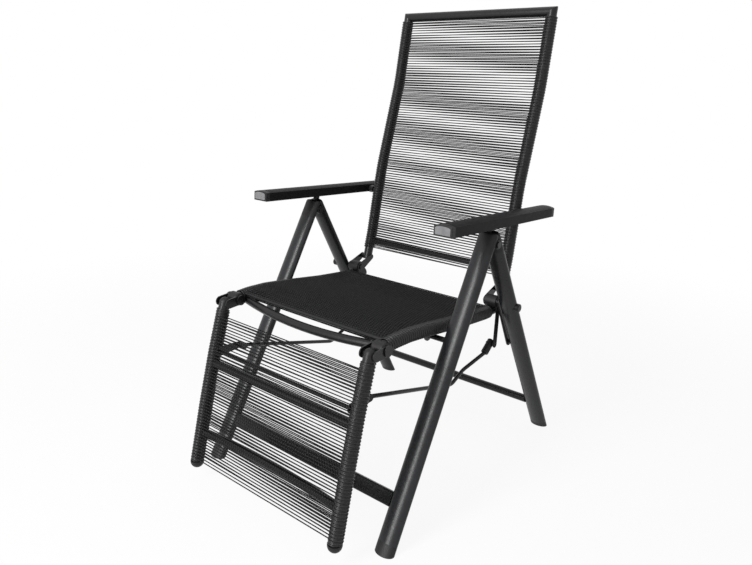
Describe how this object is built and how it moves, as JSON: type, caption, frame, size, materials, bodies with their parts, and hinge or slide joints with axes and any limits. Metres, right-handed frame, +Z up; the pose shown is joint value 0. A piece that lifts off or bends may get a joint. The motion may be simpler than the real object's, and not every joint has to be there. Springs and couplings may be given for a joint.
{
  "type": "reclining garden armchair",
  "caption": "Folding high-back garden armchair strung with round cord, with reclining back, linked footrest and notched armrests.",
  "frame": {"origin": "centre of the chair's box on the floor", "axes": "+X to the sitter's left, the sitter faces -Y, +Z up"},
  "size_m": [0.5908, 0.8038, 1.0955],
  "materials": {
    "anthracite_tube": "satin powder coat, anthracite",
    "dark_steel": "satin powder coat, near black",
    "cord": "round synthetic cord, black, slight sheen",
    "plastic": "fine-grained moulded plastic, black",
    "zinc_steel": "blackened steel fasteners"
  },
  "bodies": {
    "front_frame": {"front_leg_left": "anthracite_tube", "front_leg_right": "anthracite_tube", "front_leg_caps": "plastic", "front_feet": "plastic", "front_crossbar": "dark_steel", "leg_pivot_bolts": "zinc_steel", "armrest_lugs": "dark_steel", "armrest_slide_pins": "zinc_steel", "seat_pivot_pins": "zinc_steel"},
    "rear_frame": {"rear_leg_left": "anthracite_tube", "rear_leg_right": "anthracite_tube", "rear_leg_caps": "plastic", "rear_feet": "plastic", "rear_crossbar": "dark_steel", "leg_stop_caps": "plastic", "link_pins": "zinc_steel"},
    "links": {"link_plates": "dark_steel"},
    "seat": {"seat_rail_left": "dark_steel", "seat_rail_right": "dark_steel", "seat_rail_wraps": "cord", "seat_front_bow": "dark_steel", "seat_front_bar": "dark_steel", "seat_rear_bar": "dark_steel", "seat_cords_top": "cord", "seat_cords_under": "cord", "seat_rail_caps": "plastic", "seat_pivot_tabs": "dark_steel", "back_hinge_knuckles": "plastic"},
    "back_bolts": {"back_hinge_bolts": "zinc_steel"},
    "backrest": {"back_top_bar": "dark_steel", "back_side_tube_left": "dark_steel", "back_side_tube_right": "dark_steel", "back_low_bar": "dark_steel", "back_tube_wraps": "cord", "back_cords_front": "cord", "back_cords_rear": "cord", "back_hinge_plates": "dark_steel", "recline_levers": "dark_steel", "lever_pins": "zinc_steel"},
    "arm_bolts": {"armrest_bolts": "zinc_steel"},
    "armrests": {"armrest_left": "anthracite_tube", "armrest_right": "anthracite_tube", "armrest_front_caps": "plastic", "armrest_rear_caps": "plastic", "armrest_racks": "plastic"},
    "foot_pins": {"footrest_hinge_pins": "zinc_steel"},
    "footrest": {"footrest_tube_left": "dark_steel", "footrest_tube_right": "dark_steel", "footrest_tube_wraps": "cord", "footrest_upper_bar": "dark_steel", "footrest_lower_bar": "dark_steel", "footrest_stay": "dark_steel", "footrest_cords_front": "cord", "footrest_cords_rear": "cord", "footrest_caps": "plastic", "footrest_ears": "dark_steel", "rod_brackets": "dark_steel"},
    "rod_pins": {"rod_pins": "zinc_steel"},
    "push_rods": {"push_rods": "dark_steel", "rod_sockets": "plastic"}
  },
  "joints": [
    {"name": "leg_fold", "type": "hinge", "parent": "front_frame", "child": "rear_frame", "pos_m": [0, 0.04758, 0.577], "axis": [-1, 0, 0], "range_deg": [0, 57]},
    {"name": "link_swing", "type": "hinge", "parent": "rear_frame", "child": "links", "pos_m": [0, 0.22592, 0.287], "axis": [1, 0, 0], "range_deg": [-139.65, 0]},
    {"name": "seat_fold", "type": "hinge", "parent": "front_frame", "child": "seat", "pos_m": [0, -0.07642, 0.383], "axis": [1, 0, 0], "range_deg": [-94.44, 0]},
    {"name": "back_fold", "type": "hinge", "parent": "seat", "child": "back_bolts", "pos_m": [0, 0.16558, 0.404], "axis": [1, 0, 0], "range_deg": [0, 80.01]},
    {"name": "recline", "type": "hinge", "parent": "back_bolts", "child": "backrest", "pos_m": [0, 0.16558, 0.404], "axis": [-1, 0, 0], "range_deg": [0, 38]},
    {"name": "armrest_fold", "type": "hinge", "parent": "backrest", "child": "arm_bolts", "pos_m": [0, 0.25293, 0.611], "axis": [1, 0, 0], "range_deg": [-108.01, 0]},
    {"name": "armrest_tilt", "type": "hinge", "parent": "arm_bolts", "child": "armrests", "pos_m": [0, 0.25293, 0.611], "axis": [1, 0, 0], "range_deg": [0, 21.02]},
    {"name": "footrest_fold", "type": "hinge", "parent": "seat", "child": "foot_pins", "pos_m": [0, -0.26142, 0.415], "axis": [1, 0, 0], "range_deg": [0, 80.01]},
    {"name": "footrest_lift", "type": "hinge", "parent": "foot_pins", "child": "footrest", "pos_m": [0, -0.26142, 0.415], "axis": [1, 0, 0], "range_deg": [-38, 0]},
    {"name": "rod_fold", "type": "hinge", "parent": "footrest", "child": "rod_pins", "pos_m": [0, -0.26642, 0.307], "axis": [1, 0, 0], "range_deg": [-80.01, 0]},
    {"name": "rod_swing", "type": "hinge", "parent": "rod_pins", "child": "push_rods", "pos_m": [0, -0.26642, 0.307], "axis": [1, 0, 0], "range_deg": [0, 38]}
  ],
  "couplings": [
    {"joint": "link_swing", "follows": "leg_fold", "ratio": -2.4498},
    {"joint": "seat_fold", "follows": "leg_fold", "ratio": -1.6567},
    {"joint": "back_fold", "follows": "leg_fold", "ratio": 1.4035},
    {"joint": "armrest_fold", "follows": "leg_fold", "ratio": -1.8947},
    {"joint": "armrest_tilt", "follows": "recline", "ratio": 0.553},
    {"joint": "footrest_fold", "follows": "leg_fold", "ratio": 1.4035},
    {"joint": "footrest_lift", "follows": "recline", "ratio": -1},
    {"joint": "rod_fold", "follows": "leg_fold", "ratio": -1.4035},
    {"joint": "rod_swing", "follows": "recline", "ratio": 1}
  ]
}
